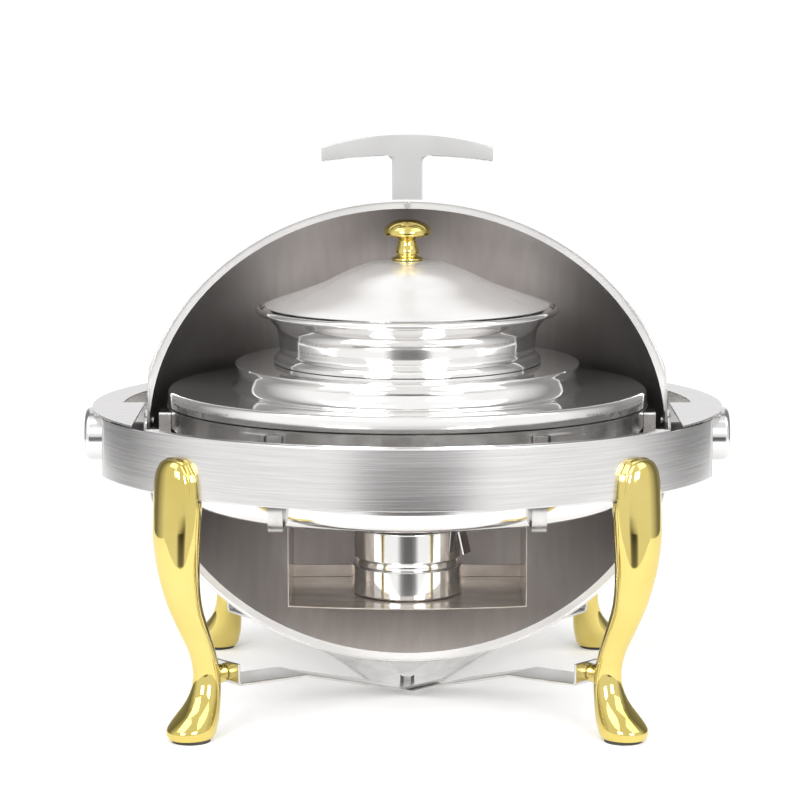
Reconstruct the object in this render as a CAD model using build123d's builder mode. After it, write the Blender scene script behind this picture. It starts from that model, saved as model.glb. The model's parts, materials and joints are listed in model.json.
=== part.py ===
from build123d import *
import math
import os

os.makedirs("parts", exist_ok=True)

# Roll top chafer, in millimetres. The origin is on the floor under the middle of the frame, +Z is up,
# the guest stands at -Y, and the cover rolls about a left-right axis through the two pivot caps.
# Heights called "level" are measured from that axis.

pivot_height = 223.5
sheet = 1.2

# frame band and its top plate
band_half_width, band_half_depth = 265.0, 234.0
band_half_height = 25.0
band_sheet = 1.5
flat_at = 251.0
lip_width, lip_end = 8.0, 140.0
plate_inner_half_width, plate_inner_half_depth = 240.0, 210.0
cheek_inner_x = 221.5

# pivots
cap_radius, cap_length = 22.5, 20.5
pin_radius = 5.0
bush_radius = 9.5
ear_radius, ear_sheet, ear_start = 20.0, 2.4, 219.1
running_clearance = 0.05

# rolling cover
dome_half_width, dome_radius = 219.0, 191.0
flange_half_width, flange_radius = 226.7, 198.0
flange_cut_x = 218.8
bead_width, bead_depth = 2.2, 3.0

# cover handle
handle_half_width, handle_top, handle_bottom = 71.5, 252.0, 234.5
handle_end_drop, handle_sheet, stem_width = 14.0, 4.5, 25.0

# water pan, adapter and soup inset
pan_half_width, pan_half_depth = 195.0, 171.6
pan_bottom, pan_flange_level, pan_corner = -55.0, 26.0, 20.0
pan_flange_half_width, pan_flange_half_depth = 203.0, 178.8
adapter_half_width, adapter_half_depth = 201.8, 177.6
adapter_top, adapter_hem = 41.0, 27.5
collar_radius, collar_top, collar_hole = 145.0, 62.0, 110.5
inset_bottom, inset_rim_level = -25.0, 105.8

# carrier that holds the pan and the fuel tray
hoop_half_width, hoop_half_depth, hoop_sheet = 199.0, 175.2, 2.6
hoop_low, hoop_high = 8.0, 25.9
bracket_x, bracket_width = 122.0, 24.0
cradle_inner_x, cradle_width, cradle_sheet = 99.8, 12.0, 3.0
cradle_reach, cradle_level, cradle_bend = 154.2, -58.5, 25.0

# fuel tray, holder and can
tray_half_width, tray_half_depth = 98.5, 60.0
tray_floor, tray_bow, tray_lip = -136.0, 12.0, 12.0
holder_radius, holder_step_level, holder_top = 47.0, -103.5, -84.0
cover_top, cover_hole = -78.0, 30.0
can_radius, can_top = 41.5, -92.0
damper_radius, damper_pivot, damper_angle = 33.0, 38.5, -25.0
lever_reach, lever_drop, lever_width = 50.0, 21.0, 14.0

# legs and braces
leg_turn = math.radians(49.8)
pad_radius, pad_height = 15.5, 3.0
brace_width, brace_sheet, brace_reach = 38.0, 2.5, 202.0
boss_level, boss_radius = -174.0, 9.0
leg_screw_levels = (-3.0, -17.0)
leg_top_x, leg_top_y = 182.6, 169.6

pivot_axis = Axis((0, 0, pivot_height), (-1, 0, 0))
across = Plane(origin=(0, 0, pivot_height), x_dir=(1, 0, 0), z_dir=(0, -1, 0))
sides = {"right": 1, "left": -1}


def level(height):
    """The horizontal plane at a height measured from the pivot axis."""
    return Plane.XY.offset(pivot_height + height)


def square_to_axis(x):
    """The plane across the pivot axis at x, which faces +X and has +Y as its own x."""
    return Plane(origin=(x, 0, pivot_height), x_dir=(0, 1, 0), z_dir=(1, 0, 0))


def save(piece, label):
    piece.part.label = label
    export_step(piece.part, f"parts/{label}.step")


# ---------------------------------------------------------------- frame band
# an oval hoop of sheet with a flat pressed in at each pivot, and a lip turned in at the bottom and front top
def band_outline(shrink):
    """The band's plan, an oval cut by the two flats, made smaller by shrink all round."""
    with BuildSketch() as outline:
        Ellipse(band_half_width - shrink, band_half_depth - shrink)
        Rectangle(2 * (flat_at - shrink), 3 * band_half_depth, mode=Mode.INTERSECT)
    return outline.sketch


def leg_direction(side_x, side_y):
    """The outward direction in plan at one leg."""
    return Vector(side_x * math.cos(leg_turn), side_y * math.sin(leg_turn), 0)


def leg_screw_plane(side_x, side_y, screw_level, outward):
    """A plane at the band where a leg screw crosses it, looking out along the screw."""
    direction = leg_direction(side_x, side_y)
    start = Vector(side_x * leg_top_x, side_y * leg_top_y, pivot_height + screw_level)
    return Plane(origin=start + direction * outward, x_dir=(0, 0, 1), z_dir=direction)


corners = [(1, -1), (-1, -1), (1, 1), (-1, 1)]
corner_names = {(1, -1): "front_right", (-1, -1): "front_left", (1, 1): "rear_right", (-1, 1): "rear_left"}
leg_screw_radius, leg_screw_head = 3.0, 5.0
screw_inside, screw_outside = 10.0, 20.0

with BuildPart() as frame_band:
    with BuildSketch(level(-band_half_height)):
        add(band_outline(0))
        add(band_outline(band_sheet), mode=Mode.SUBTRACT)
    extrude(amount=2 * band_half_height)
    with BuildSketch(level(-band_half_height)):
        add(band_outline(0))
        add(band_outline(lip_width), mode=Mode.SUBTRACT)
    extrude(amount=band_sheet)
    with BuildSketch(level(band_half_height - band_sheet)):
        add(band_outline(0))
        add(band_outline(lip_width), mode=Mode.SUBTRACT)
        with Locations((0, band_half_depth - lip_end)):
            Rectangle(3 * band_half_width, 2 * band_half_depth, mode=Mode.SUBTRACT)
    extrude(amount=band_sheet)
    with BuildSketch(square_to_axis(-band_half_width)):
        Circle(pin_radius)
    extrude(amount=2 * band_half_width, mode=Mode.SUBTRACT)
    for side_x, side_y in corners:
        for screw_level in leg_screw_levels:
            with BuildSketch(leg_screw_plane(side_x, side_y, screw_level, -screw_inside)):
                Circle(leg_screw_radius)
            extrude(amount=screw_outside, mode=Mode.SUBTRACT)
save(frame_band, "frame_band")

# ---------------------------------------------------------------- top plate
# a flat crescent behind the cover, which narrows to two cheeks beside it and ends where they meet the band
cheek_end = 142.0
with BuildPart() as frame_top_plate:
    with BuildSketch(level(band_half_height)):
        Ellipse(band_half_width, band_half_depth)
        with Locations((0, -band_half_depth)):
            Rectangle(2 * cheek_inner_x, 2 * band_half_depth, mode=Mode.SUBTRACT)
        with Locations((0, -cheek_end - band_half_depth / 2)):
            Rectangle(3 * band_half_width, band_half_depth, mode=Mode.SUBTRACT)
        with BuildSketch(mode=Mode.SUBTRACT):
            Ellipse(plate_inner_half_width, plate_inner_half_depth)
            with Locations((0, -band_half_depth)):
                Rectangle(3 * band_half_width, 2 * band_half_depth, mode=Mode.SUBTRACT)
    extrude(amount=band_sheet)
save(frame_top_plate, "frame_top_plate")

# ---------------------------------------------------------------- carrier hoop
with BuildPart() as carrier_hoop:
    with BuildSketch(level(hoop_low)):
        Ellipse(hoop_half_width, hoop_half_depth)
        Ellipse(hoop_half_width - hoop_sheet, hoop_half_depth - hoop_sheet, mode=Mode.SUBTRACT)
    extrude(amount=hoop_high - hoop_low)
save(carrier_hoop, "carrier_hoop")

# two bent brackets carry the hoop from the front of the band, where the rolling cover never passes
bracket_y = hoop_half_depth * math.sqrt(1 - (bracket_x / hoop_half_width) ** 2)
bracket_top, arm_low, arm_thick, bracket_thick, arm_reach = 21.5, -8.0, 5.0, 4.0, 70.0
for side, sign in sides.items():
    out = Vector(sign * bracket_x / hoop_half_width**2, -bracket_y / hoop_half_depth**2, 0).normalized()
    start = Vector(sign * bracket_x, -bracket_y, pivot_height + arm_low)
    foot = Plane(origin=start, x_dir=out, z_dir=(0, 0, 1))
    with BuildPart() as bracket:
        with BuildSketch(foot):
            Rectangle(2 * bracket_thick, bracket_width)
        extrude(amount=bracket_top - arm_low)
        with BuildSketch(foot):
            Rectangle(arm_reach, bracket_width, align=(Align.MIN, Align.CENTER))
        extrude(amount=arm_thick)
        with BuildSketch(level(arm_low)):
            Ellipse(hoop_half_width, hoop_half_depth)
        extrude(amount=band_half_height + bracket_top, mode=Mode.SUBTRACT)
        with BuildSketch(level(arm_low)):
            Ellipse(band_half_width - band_sheet, band_half_depth - band_sheet)
        extrude(amount=band_half_height + bracket_top, mode=Mode.INTERSECT)
    save(bracket, f"pan_bracket_{side}")

# ---------------------------------------------------------------- pivots
lug_outer_x, lug_half_width, lug_low, lug_high = 209.0, 13.0, -12.0, 20.0
pin_start, pin_end = 201.0, 263.0
lug_hole_depth, lug_corner, bush_gap, cap_corner = 20.0, 2.0, 0.4, 4.0
for side, sign in sides.items():
    inward = {"right": Align.MAX, "left": Align.MIN}[side]
    with BuildPart() as lug:
        with BuildSketch(level(lug_low)):
            with Locations((sign * lug_outer_x, 0)):
                Rectangle(lug_outer_x - hoop_half_width, 2 * lug_half_width, align=(inward, Align.CENTER))
        extrude(amount=lug_high - lug_low)
        with BuildSketch(square_to_axis(sign * pin_start)):
            Circle(pin_radius)
        extrude(amount=sign * lug_hole_depth, mode=Mode.SUBTRACT)
        fillet(lug.edges().filter_by(Axis.X), lug_corner)
    save(lug, f"pivot_lug_{side}")

    with BuildPart() as pin:
        with BuildSketch(square_to_axis(sign * pin_start)):
            Circle(pin_radius)
        extrude(amount=sign * (pin_end - pin_start))
    save(pin, f"pivot_pin_{side}")

    bush_start = ear_start + ear_sheet + bush_gap
    with BuildPart() as bush:
        with BuildSketch(square_to_axis(sign * bush_start)):
            Circle(bush_radius)
            Circle(pin_radius + running_clearance, mode=Mode.SUBTRACT)
        extrude(amount=sign * (flat_at - band_sheet - bush_start))
    save(bush, f"pivot_bush_{side}")

    with BuildPart() as cap:
        with BuildSketch(square_to_axis(sign * flat_at)):
            Circle(cap_radius)
        extrude(amount=sign * cap_length)
        fillet(cap.edges().sort_by(Axis.X)[-1 if sign > 0 else 0], cap_corner)
        with BuildSketch(square_to_axis(sign * flat_at)):
            Circle(pin_radius)
        extrude(amount=sign * (pin_end - flat_at), mode=Mode.SUBTRACT)
    save(cap, f"pivot_cap_{side}")

# ---------------------------------------------------------------- rolling cover
# half a spheroid about the pivot axis; its rim is upright here, and its hollow faces the guest
rivet_offsets = [(11.0, 10.0), (11.0, -10.0)]
rivet_radius = 2.0
handle_screw_level, handle_screw_radius = 193.4, 1.5

with BuildPart() as dome_shell:
    with BuildSketch(across):
        Ellipse(dome_half_width, dome_radius)
        Ellipse(dome_half_width - sheet, dome_radius - sheet, mode=Mode.SUBTRACT)
        with Locations((0, -dome_radius)):
            Rectangle(3 * dome_half_width, 2 * dome_radius, mode=Mode.SUBTRACT)
    revolve(axis=pivot_axis, revolution_arc=180)
    with BuildSketch(across):
        Ellipse(flange_half_width, flange_radius)
        Rectangle(2 * flange_cut_x, 3 * flange_radius, mode=Mode.INTERSECT)
        Ellipse(dome_half_width - sheet, dome_radius - sheet, mode=Mode.SUBTRACT)
    extrude(amount=sheet)
    with BuildSketch(across.offset(sheet)):
        Ellipse(flange_half_width, flange_radius)
        Rectangle(2 * flange_cut_x, 3 * flange_radius, mode=Mode.INTERSECT)
        Ellipse(flange_half_width - bead_width, flange_radius - bead_width, mode=Mode.SUBTRACT)
    extrude(amount=bead_depth)
    with BuildSketch(square_to_axis(-band_half_width)):
        Circle(2 * pin_radius)
        with Locations(*rivet_offsets):
            Circle(rivet_radius)
    extrude(amount=2 * band_half_width, mode=Mode.SUBTRACT)
    with BuildSketch(across.offset(-handle_sheet)):
        with Locations((0, handle_screw_level)):
            Circle(handle_screw_radius)
    extrude(amount=3 * handle_sheet, mode=Mode.SUBTRACT)
save(dome_shell, "dome_shell")

for side, sign in sides.items():
    with BuildPart() as ear:
        with BuildSketch(square_to_axis(sign * ear_start)):
            Circle(ear_radius)
            Circle(pin_radius + running_clearance, mode=Mode.SUBTRACT)
            with Locations(*rivet_offsets):
                Circle(rivet_radius, mode=Mode.SUBTRACT)
        extrude(amount=sign * ear_sheet)
    save(ear, f"dome_ear_{side}")

rivet_inner_x, rivet_head, rivet_head_radius = 215.2, 1.4, 3.4
with BuildPart() as ear_rivets:
    for sign in sides.values():
        for start, reach, radius in [
            (rivet_inner_x, ear_start + ear_sheet - rivet_inner_x, rivet_radius),
            (rivet_inner_x, rivet_head, rivet_head_radius),
            (ear_start + ear_sheet, rivet_head, rivet_head_radius),
        ]:
            with BuildSketch(square_to_axis(sign * start)):
                with Locations(*rivet_offsets):
                    Circle(radius)
            extrude(amount=sign * reach)
save(ear_rivets, "dome_ear_rivets")

# the handle is a flat T whose stem stands behind the rim flange
stem_start, stem_fillet, slant, low_drop, stem_lap = 191.3, 5.5, 1.5, 5.0, 4.0
with BuildPart() as dome_handle:
    with BuildSketch(across):
        with BuildLine():
            top = ThreePointArc(
                (-handle_half_width, handle_top - handle_end_drop),
                (0, handle_top),
                (handle_half_width, handle_top - handle_end_drop),
            )
            low = ThreePointArc(
                (-handle_half_width + slant, handle_bottom - low_drop),
                (0, handle_bottom),
                (handle_half_width - slant, handle_bottom - low_drop),
            )
            Line(top @ 0, low @ 0)
            Line(top @ 1, low @ 1)
        make_face()
        with Locations((0, (stem_start + handle_bottom + stem_lap) / 2)):
            Rectangle(stem_width, handle_bottom + stem_lap - stem_start)
    extrude(amount=-handle_sheet)
    inner_corners = dome_handle.edges().filter_by(Axis.Y).filter_by_position(Axis.X, -13, 13)
    inner_corners = inner_corners.filter_by_position(Axis.Z, pivot_height + 228, pivot_height + 237)
    fillet(inner_corners, stem_fillet)
    with BuildSketch(across):
        with Locations((0, handle_screw_level)):
            Circle(handle_screw_radius)
    extrude(amount=-handle_sheet, mode=Mode.SUBTRACT)
save(dome_handle, "dome_handle")

screw_head_radius, screw_head_height = 2.3, 1.6
with BuildPart() as handle_screw:
    with BuildSketch(across.offset(-handle_sheet)):
        with Locations((0, handle_screw_level)):
            Circle(handle_screw_radius)
    extrude(amount=handle_sheet + sheet)
    with BuildSketch(across.offset(sheet)):
        with Locations((0, handle_screw_level)):
            Circle(screw_head_radius)
    extrude(amount=screw_head_height)
save(handle_screw, "handle_screw")

# ---------------------------------------------------------------- water pan
with BuildPart() as pan_hollow:
    with BuildSketch(level(pan_bottom + sheet)):
        Ellipse(pan_half_width - sheet, pan_half_depth - sheet)
    extrude(amount=pan_flange_level - pan_bottom + sheet)
    fillet(pan_hollow.edges().sort_by(Axis.Z)[0], pan_corner - sheet)

with BuildPart() as water_pan:
    with BuildSketch(level(pan_bottom)):
        Ellipse(pan_half_width, pan_half_depth)
    extrude(amount=pan_flange_level - pan_bottom)
    fillet(water_pan.edges().sort_by(Axis.Z)[0], pan_corner)
    with BuildSketch(level(pan_flange_level)):
        Ellipse(pan_flange_half_width, pan_flange_half_depth)
    extrude(amount=sheet)
    add(pan_hollow.part, mode=Mode.SUBTRACT)
save(water_pan, "water_pan")

# ---------------------------------------------------------------- adapter plate
# an oval lid for the pan whose middle rises in a round collar that takes the soup inset
collar_foot = 149.5
with BuildPart() as adapter_plate:
    with BuildSketch(level(adapter_hem)):
        Ellipse(adapter_half_width, adapter_half_depth)
    extrude(amount=adapter_top - adapter_hem)
    fillet(adapter_plate.edges().sort_by(Axis.Z)[-1], 4)
    with BuildSketch(level(adapter_hem)):
        Ellipse(adapter_half_width - sheet, adapter_half_depth - sheet)
    extrude(amount=adapter_top - adapter_hem - sheet, mode=Mode.SUBTRACT)
    with BuildSketch(level(adapter_hem)):
        Circle(collar_foot)
    extrude(amount=band_half_height, mode=Mode.SUBTRACT)
    with BuildSketch(across):
        with BuildLine():
            Polyline(
                (collar_foot + 1, adapter_top),
                (collar_radius + 2.2, adapter_top + 1),
                (collar_radius - 1.4, adapter_top + 5.2),
                (collar_radius - 2.8, adapter_top + 11),
                (collar_radius - 2, collar_top - 5.4),
                (collar_radius, collar_top - 2.6),
                (collar_radius - 1, collar_top),
                (collar_hole, collar_top),
                (collar_hole, collar_top - 8),
                (collar_hole + sheet, collar_top - 8),
                (collar_hole + sheet, collar_top - sheet),
                (collar_radius - 2, collar_top - sheet),
                (collar_radius - 3.2, collar_top - 5),
                (collar_radius - 4, adapter_top + 11),
                (collar_radius - 2.6, adapter_top + 4.4),
                (collar_radius + 0.9, adapter_top + 0.1),
                (collar_foot - 0.5, adapter_top - sheet),
                (collar_foot + 1, adapter_top - sheet),
                close=True,
            )
        make_face()
    revolve(axis=Axis.Z)
save(adapter_plate, "adapter_plate")

# ---------------------------------------------------------------- soup inset
# a round deep pot: rolled rim, funnel neck, waisted wall, and a bead that sits on the collar
bead_centre = 124.7
bead_radius = 2.8
wall_points = [
    (122.6, 104.2), (114.0, 96.0), (109.6, 89.0), (108.0, 76.0), (107.0, 71.5), (109.4, 69.0),
    (112.4, 65.4), (112.4, 62.3), (108.4, 62.3), (108.4, 40.0), (106.0, -15.0), (98.0, inset_bottom),
]
with BuildPart() as soup_inset:
    with BuildSketch(across):
        with BuildLine():
            Polyline(
                *wall_points,
                (0, inset_bottom),
                (0, inset_bottom + sheet),
                *[(r - sheet, h + sheet / 2) for r, h in reversed(wall_points[8:])],
                (110.6, 64.0),
                (107.6, 68.6),
                (105.6, 71.5),
                (106.8, 76.5),
                (108.3, 89.4),
                (113.0, 97.2),
                (121.6, 105.4),
                close=True,
            )
        make_face()
        with Locations((bead_centre, inset_rim_level)):
            Circle(bead_radius)
    revolve(axis=Axis.Z)
save(soup_inset, "soup_inset")

# ---------------------------------------------------------------- inset lid and its knob
lid_curve = [(24.0, 147.0), (50.2, 138.0), (70.5, 128.0), (89.9, 120.6), (110.2, 113.6), (119.5, 110.1)]
lid_crown = 147.2
knob_screw_radius = 2.5
with BuildPart() as inset_lid:
    with BuildSketch(across):
        with BuildLine():
            Line((knob_screw_radius, lid_crown), (14.0, lid_crown))
            Spline((14.0, lid_crown), *lid_curve, tangents=((1, 0), (1, -0.45)))
            Line(lid_curve[-1], (lid_curve[-1][0], lid_curve[-1][1] - sheet))
            Spline(
                (14.0, lid_crown - sheet),
                *[(r, h - sheet) for r, h in lid_curve],
                tangents=((1, 0), (1, -0.45)),
            )
            Line((14.0, lid_crown - sheet), (knob_screw_radius, lid_crown - sheet))
            Line((knob_screw_radius, lid_crown - sheet), (knob_screw_radius, lid_crown))
        make_face()
    revolve(axis=Axis.Z)
save(inset_lid, "inset_lid")

knob_base = lid_crown + 0.1
knob_screw_depth, knob_nut_radius, knob_nut_height = 14.0, 5.5, 3.0
with BuildPart() as lid_knob:
    with BuildSketch(across):
        with BuildLine():
            Polyline((0, 181.5), (0, knob_base), (13.7, knob_base), (13.7, knob_base + 1.8))
            Spline(
                (13.7, knob_base + 1.8), (9.0, 150.8), (10.3, 155.0), (7.9, 163.5), (12.0, 166.2), (19.0, 168.4),
            )
            Spline((19.0, 168.4), (20.0, 171.5), (17.5, 176.4), (10.0, 180.4), (0, 181.5), tangents=((1, 1), (-1, 0)))
        make_face()
    revolve(axis=Axis.Z)
    with BuildSketch(level(knob_base)):
        Circle(knob_screw_radius)
    extrude(amount=knob_screw_depth, mode=Mode.SUBTRACT)
save(lid_knob, "lid_knob")

with BuildPart() as knob_screw:
    with BuildSketch(level(lid_crown - sheet - knob_nut_height)):
        Circle(knob_nut_radius)
    extrude(amount=knob_nut_height)
    with BuildSketch(level(lid_crown - sheet)):
        Circle(knob_screw_radius)
    extrude(amount=knob_base - lid_crown + sheet + knob_screw_depth)
save(knob_screw, "knob_screw")

# ---------------------------------------------------------------- cradle straps and fuel tray
# two U straps hang from the hoop, pass under the pan and carry the tray by four screws
cradle_top = 22.0
screw_x = cradle_inner_x + cradle_width / 2
screw_places = [(sign * screw_x, y) for sign in sides.values() for y in (-40, 40)]
tray_screw_radius = 2.0
strap_low = cradle_level - cradle_sheet / 2
for side, sign in sides.items():
    middle = sign * screw_x
    with BuildPart() as cradle:
        with BuildSketch(Plane.YZ.offset(middle)):
            with BuildLine():
                FilletPolyline(
                    (cradle_reach, pivot_height + cradle_top),
                    (cradle_reach, pivot_height + cradle_level),
                    (-cradle_reach, pivot_height + cradle_level),
                    (-cradle_reach, pivot_height + cradle_top),
                    radius=cradle_bend,
                )
            trace(line_width=cradle_sheet)
        extrude(amount=cradle_width / 2, both=True)
        with BuildSketch(level(strap_low)):
            with Locations(*screw_places):
                Circle(tray_screw_radius)
        extrude(amount=cradle_sheet, mode=Mode.SUBTRACT)
    save(cradle, f"cradle_strap_{side}")

with BuildPart() as fuel_tray:
    with BuildSketch(level(tray_floor - sheet)):
        with BuildLine():
            back = Polyline(
                (-tray_half_width - sheet, -tray_half_depth),
                (-tray_half_width - sheet, tray_half_depth),
                (tray_half_width + sheet, tray_half_depth),
                (tray_half_width + sheet, -tray_half_depth),
            )
            ThreePointArc(back @ 0, (0, -tray_half_depth - tray_bow), back @ 1)
        make_face()
    extrude(amount=sheet)
    with BuildSketch(level(tray_floor - sheet)):
        with Locations((0, tray_half_depth - sheet / 2)):
            Rectangle(2 * tray_half_width, sheet)
    extrude(amount=tray_lip)
    with BuildSketch(level(tray_floor - sheet)):
        for sign in sides.values():
            with Locations((sign * (tray_half_width + sheet / 2), 0)):
                Rectangle(sheet, 2 * tray_half_depth)
    extrude(amount=strap_low - tray_floor + sheet)
    with BuildSketch(level(strap_low - sheet)):
        for sign in sides.values():
            with Locations((sign * (screw_x - sheet / 2), 0)):
                Rectangle(cradle_width + sheet, 2 * tray_half_depth)
        with Locations(*screw_places):
            Circle(tray_screw_radius, mode=Mode.SUBTRACT)
    extrude(amount=sheet)
save(fuel_tray, "fuel_tray")

with BuildPart() as tray_screws:
    with BuildSketch(level(strap_low - sheet)):
        with Locations(*screw_places):
            Circle(tray_screw_radius)
    extrude(amount=sheet + cradle_sheet)
    with BuildSketch(level(strap_low - sheet)):
        with Locations(*screw_places):
            Circle(2 * tray_screw_radius)
    extrude(amount=-2)
save(tray_screws, "tray_screws")

# ---------------------------------------------------------------- fuel holder, cover, damper and can
with BuildPart() as fuel_holder:
    with BuildSketch(across):
        with BuildLine():
            Polyline(
                (0, tray_floor + 0.3),
                (holder_radius, tray_floor + 0.3),
                (holder_radius, holder_step_level),
                (holder_radius - 1.5, holder_step_level),
                (holder_radius - 1.5, holder_top),
                (holder_radius - 1.5 - sheet, holder_top),
                (holder_radius - 1.5 - sheet, tray_floor + 0.3 + sheet),
                (0, tray_floor + 0.3 + sheet),
                close=True,
            )
        make_face()
    revolve(axis=Axis.Z)
save(fuel_holder, "fuel_holder")

can_rim, can_mouth, can_corner = 4.0, 18.0, 1.0
with BuildPart() as fuel_can:
    with BuildSketch(level(tray_floor + 0.3 + sheet)):
        Circle(can_radius)
    extrude(amount=can_top - tray_floor - 0.3 - sheet)
    fillet(fuel_can.edges(), can_corner)
    with BuildSketch(level(can_top)):
        Circle(can_radius - can_rim)
        Circle(can_mouth, mode=Mode.SUBTRACT)
    extrude(amount=-can_corner, mode=Mode.SUBTRACT)
save(fuel_can, "fuel_can")

pivot_spot = Vector(
    -damper_pivot * math.cos(math.radians(damper_angle)), -damper_pivot * math.sin(math.radians(damper_angle)), 0
)
damper_base = cover_top + 0.3
damper_rivet_radius = 2.0
with BuildPart() as holder_cover:
    with BuildSketch(across):
        with BuildLine():
            Polyline(
                (cover_hole, cover_top),
                (holder_radius, cover_top),
                (holder_radius, holder_step_level + 0.3),
                (holder_radius - 1.1, holder_step_level + 0.3),
                (holder_radius - 1.1, cover_top - sheet),
                (cover_hole, cover_top - sheet),
                close=True,
            )
        make_face()
    revolve(axis=Axis.Z)
    with BuildSketch(level(cover_top - sheet)):
        with Locations((pivot_spot.X, pivot_spot.Y)):
            Circle(damper_rivet_radius)
    extrude(amount=sheet, mode=Mode.SUBTRACT)
save(holder_cover, "holder_cover")

# the damper plate swings on one rivet; its lever runs out over the cover and turns down
lever_way = Vector(math.cos(math.radians(damper_angle)), math.sin(math.radians(damper_angle)), 0)
damper_plane = Plane(origin=(0, 0, pivot_height + damper_base), x_dir=lever_way, z_dir=(0, 0, 1))
lever_side = Plane(origin=(0, 0, pivot_height + damper_base), x_dir=lever_way, z_dir=lever_way.cross(Vector(0, 0, 1)))
with BuildPart() as damper:
    with BuildSketch(damper_plane):
        Circle(damper_radius)
        with Locations((-damper_pivot, 0)):
            Circle(6.5)
        with Locations((-damper_pivot / 2, 0)):
            Rectangle(damper_pivot, 13)
        with Locations((lever_reach / 2, 0)):
            Rectangle(lever_reach, lever_width)
        with Locations((-damper_pivot, 0)):
            Circle(damper_rivet_radius + running_clearance, mode=Mode.SUBTRACT)
    extrude(amount=sheet)
    with BuildSketch(lever_side):
        with BuildLine():
            Polyline(
                (lever_reach - 0.5, 0),
                (lever_reach - 0.5, sheet),
                (lever_reach + 0.8, sheet),
                (lever_reach + 6, -lever_drop),
                (lever_reach + 4.8, -lever_drop),
                close=True,
            )
        make_face()
    extrude(amount=lever_width / 2, both=True)
save(damper, "damper")

with BuildPart() as damper_rivet:
    for start, height, radius in [
        (cover_top - sheet, 2 * sheet + 0.4, damper_rivet_radius),
        (cover_top - sheet - 1, 1, 3.6),
        (damper_base + sheet + 0.1, 1.2, 3.6),
    ]:
        with BuildSketch(level(start)):
            with Locations((pivot_spot.X, pivot_spot.Y)):
                Circle(radius)
        extrude(amount=height)
save(damper_rivet, "damper_rivet")

# ---------------------------------------------------------------- legs
# level, plan position and the two half widths (along and across the leg's own outward direction)
leg_sections = [
    (6.0, 183.0, 171.0, 8.0, 11.0),
    (-8.0, 182.0, 170.0, 15.0, 20.0),
    (-28.0, 182.0, 170.0, 17.0, 21.5),
    (-60.0, 183.0, 171.0, 17.0, 21.0),
    (-85.0, 182.0, 170.0, 15.5, 18.0),
    (-112.0, 178.0, 166.0, 13.5, 14.5),
    (-135.0, 171.0, 160.0, 12.0, 12.5),
    (-155.0, 164.5, 154.0, 11.0, 10.7),
    (-175.0, 161.5, 152.0, 11.5, 11.0),
    (-192.0, 164.0, 156.0, 14.0, 13.5),
    (-206.0, 170.0, 163.0, 20.5, 17.5),
    (-213.0, 173.0, 166.5, 22.0, 19.0),
    (pad_height - pivot_height, 173.5, 167.5, 19.5, 17.0),
]
strap_screw_radius = 2.5
pad_x, pad_y = leg_sections[-1][1:3]
boss_x, boss_y = leg_sections[8][1:3]
brace_end = math.hypot(boss_x, boss_y)
brace_face = brace_reach + brace_sheet


def brace_direction(side_x, side_y):
    """The plan direction of a brace from the middle to one leg."""
    return Vector(side_x * boss_x, side_y * boss_y, 0).normalized()


def brace_plane(side_x, side_y, distance):
    """A plane across a brace at a distance from the middle, at the height of its end screw."""
    way = brace_direction(side_x, side_y)
    return Plane(origin=way * distance + Vector(0, 0, pivot_height + boss_level), x_dir=(0, 0, 1), z_dir=way)


for side_x, side_y in corners:
    with BuildPart() as leg:
        for height, x, y, along, wide in leg_sections:
            here = Plane(
                origin=(side_x * x, side_y * y, pivot_height + height),
                x_dir=leg_direction(side_x, side_y),
                z_dir=(0, 0, 1),
            )
            with BuildSketch(here):
                Ellipse(along, wide)
        loft()
        with BuildSketch(brace_plane(side_x, side_y, brace_face)):
            Circle(boss_radius)
        extrude(amount=brace_end - brace_face)
        with BuildSketch(level(-band_half_height)):
            add(band_outline(0))
        extrude(amount=2 * band_half_height, mode=Mode.SUBTRACT)
        for screw_level in leg_screw_levels:
            with BuildSketch(leg_screw_plane(side_x, side_y, screw_level, -5)):
                Circle(leg_screw_radius)
            extrude(amount=12, mode=Mode.SUBTRACT)
        with BuildSketch(brace_plane(side_x, side_y, brace_face)):
            Circle(strap_screw_radius)
        extrude(amount=12, mode=Mode.SUBTRACT)
    save(leg, f"leg_{corner_names[side_x, side_y]}")

screw_head_gap, leg_head_height, leg_screw_bite = 4.6, 2.4, 7.0
with BuildPart() as leg_screws:
    for side_x, side_y in corners:
        for screw_level in leg_screw_levels:
            with BuildSketch(leg_screw_plane(side_x, side_y, screw_level, -screw_head_gap)):
                Circle(leg_screw_radius)
            extrude(amount=screw_head_gap + leg_screw_bite)
            with BuildSketch(leg_screw_plane(side_x, side_y, screw_level, -screw_head_gap)):
                Circle(leg_screw_head)
            extrude(amount=leg_head_height)
save(leg_screws, "leg_screws")

with BuildPart() as foot_pads:
    with BuildSketch():
        with Locations(*[(side_x * pad_x, side_y * pad_y) for side_x, side_y in corners]):
            Circle(pad_radius)
    extrude(amount=pad_height)
save(foot_pads, "foot_pads")

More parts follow.
